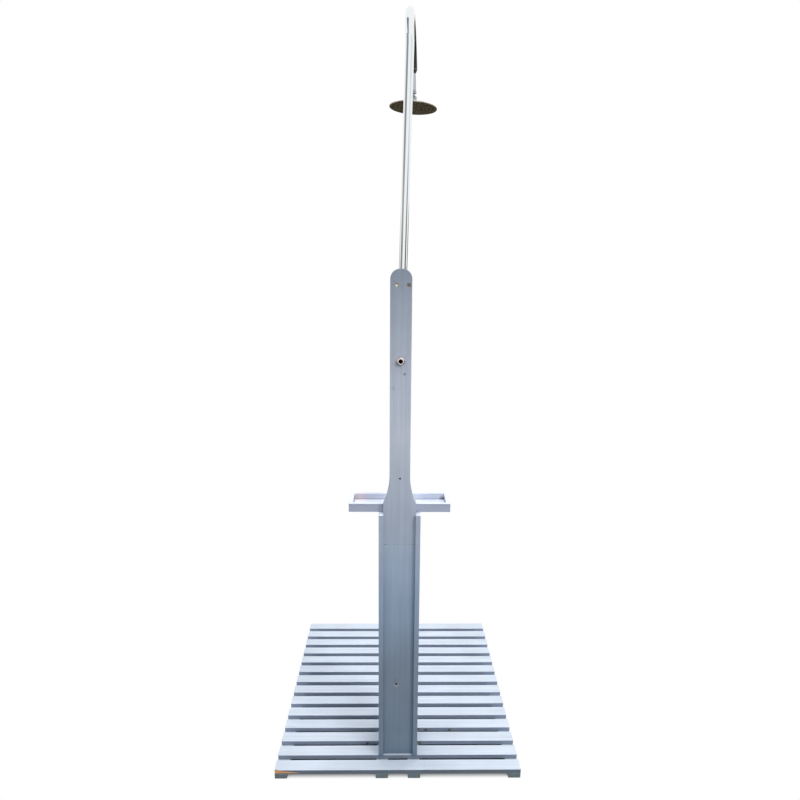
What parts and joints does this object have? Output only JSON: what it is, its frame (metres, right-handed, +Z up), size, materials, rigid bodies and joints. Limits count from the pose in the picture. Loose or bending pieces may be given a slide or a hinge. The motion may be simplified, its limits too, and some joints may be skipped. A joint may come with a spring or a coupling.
{
  "type": "outdoor shower post",
  "caption": "Free-standing garden shower: slatted wooden platform, boxed column with a paddle board and soap tray, stop valve, and a steel riser with gooseneck and round rain head.",
  "frame": {"origin": "middle of the platform's underside, on the ground", "axes": "+Z up; +Y forward, to the side where the bather stands under the head; -Y to the rear, where the feed pipe joins; +X to the right as seen from the rear"},
  "size_m": [0.8, 0.8, 2.3389],
  "materials": {
    "deck_paint": "blue-grey stain over softwood, worn pale on top",
    "skid_paint": "blue-grey stain over softwood",
    "column_paint": "blue-grey stain over softwood, faint upright grain",
    "raw_pine": "bare sawn softwood",
    "zinc_steel": "zinc plated",
    "yellow_zinc": "yellow passivated zinc",
    "brass": "turned",
    "chrome_plate": "bright plated",
    "polished_steel": "polished stainless steel",
    "face_steel": "stainless steel, reflecting the ground",
    "nozzle_rubber": "soft moulded",
    "seal_rubber": "moulded"
  },
  "bodies": {
    "root": {"slat_01": "deck_paint", "slat_02": "deck_paint", "slat_03": "deck_paint", "slat_04": "deck_paint", "slat_05": "deck_paint", "slat_06": "deck_paint", "slat_07": "deck_paint", "slat_08": "deck_paint", "slat_09": "deck_paint", "slat_10": "deck_paint", "slat_11": "deck_paint", "slat_12": "deck_paint", "slat_13": "deck_paint", "slat_14": "deck_paint", "skid_left": "skid_paint", "skid_mid_left": "skid_paint", "skid_mid_right": "skid_paint", "skid_right": "skid_paint", "slat_screws": "zinc_steel", "cheek_left": "column_paint", "cheek_right": "column_paint", "rear_panel": "column_paint", "front_panel": "column_paint", "base_block": "raw_pine", "spreader_block": "raw_pine", "splice_block": "raw_pine", "cheek_screws": "zinc_steel", "panel_screws": "zinc_steel", "splice_screws": "zinc_steel", "post_screws": "zinc_steel", "paddle": "column_paint", "tray_floor": "column_paint", "tray_front_rail": "column_paint", "tray_back_rail": "column_paint", "tray_left_end": "column_paint", "tray_right_end": "column_paint", "tray_pins": "zinc_steel", "tray_screws": "zinc_steel", "inlet_nipple": "chrome_plate", "mounting_plate": "chrome_plate", "plate_screws": "zinc_steel", "valve_body": "chrome_plate", "cartridge": "brass", "bonnet_nut": "chrome_plate", "union_nut": "chrome_plate", "pipe_seal": "seal_rubber", "clip_base": "chrome_plate", "clip_cap": "chrome_plate", "clip_bolts": "yellow_zinc", "clip_nuts": "chrome_plate"},
    "lever": {"spindle": "brass", "handle": "chrome_plate", "handle_screw": "zinc_steel"},
    "riser": {"riser_pipe": "polished_steel", "outlet_nipple": "polished_steel"},
    "joint_ball": {"ball_stem": "polished_steel"},
    "rain_head": {"ball_nut": "polished_steel", "head_shell": "polished_steel", "nozzle_plate": "face_steel", "nozzle_mat": "nozzle_rubber"}
  },
  "joints": [
    {"name": "riser_swivel", "type": "hinge", "parent": "root", "child": "riser", "pos_m": [0, -0.28504, 1.357], "axis": [0.0218, 0, 0.9998], "range_deg": [-60, 60]},
    {"name": "head_swivel", "type": "hinge", "parent": "riser", "child": "joint_ball", "pos_m": [0.03868, -0.05389, 2.14946], "axis": [-0.0391, -0.1088, 0.9933], "continuous": true},
    {"name": "head_tilt", "type": "hinge", "parent": "joint_ball", "child": "rain_head", "pos_m": [0.03868, -0.05389, 2.14946], "axis": [0.9965, -0.0784, 0.0306], "range_deg": [-15, 15]},
    {"name": "lever_turn", "type": "hinge", "parent": "root", "child": "lever", "pos_m": [0, -0.28504, 1.357], "axis": [0, 1, 0], "range_deg": [0, 90]}
  ]
}
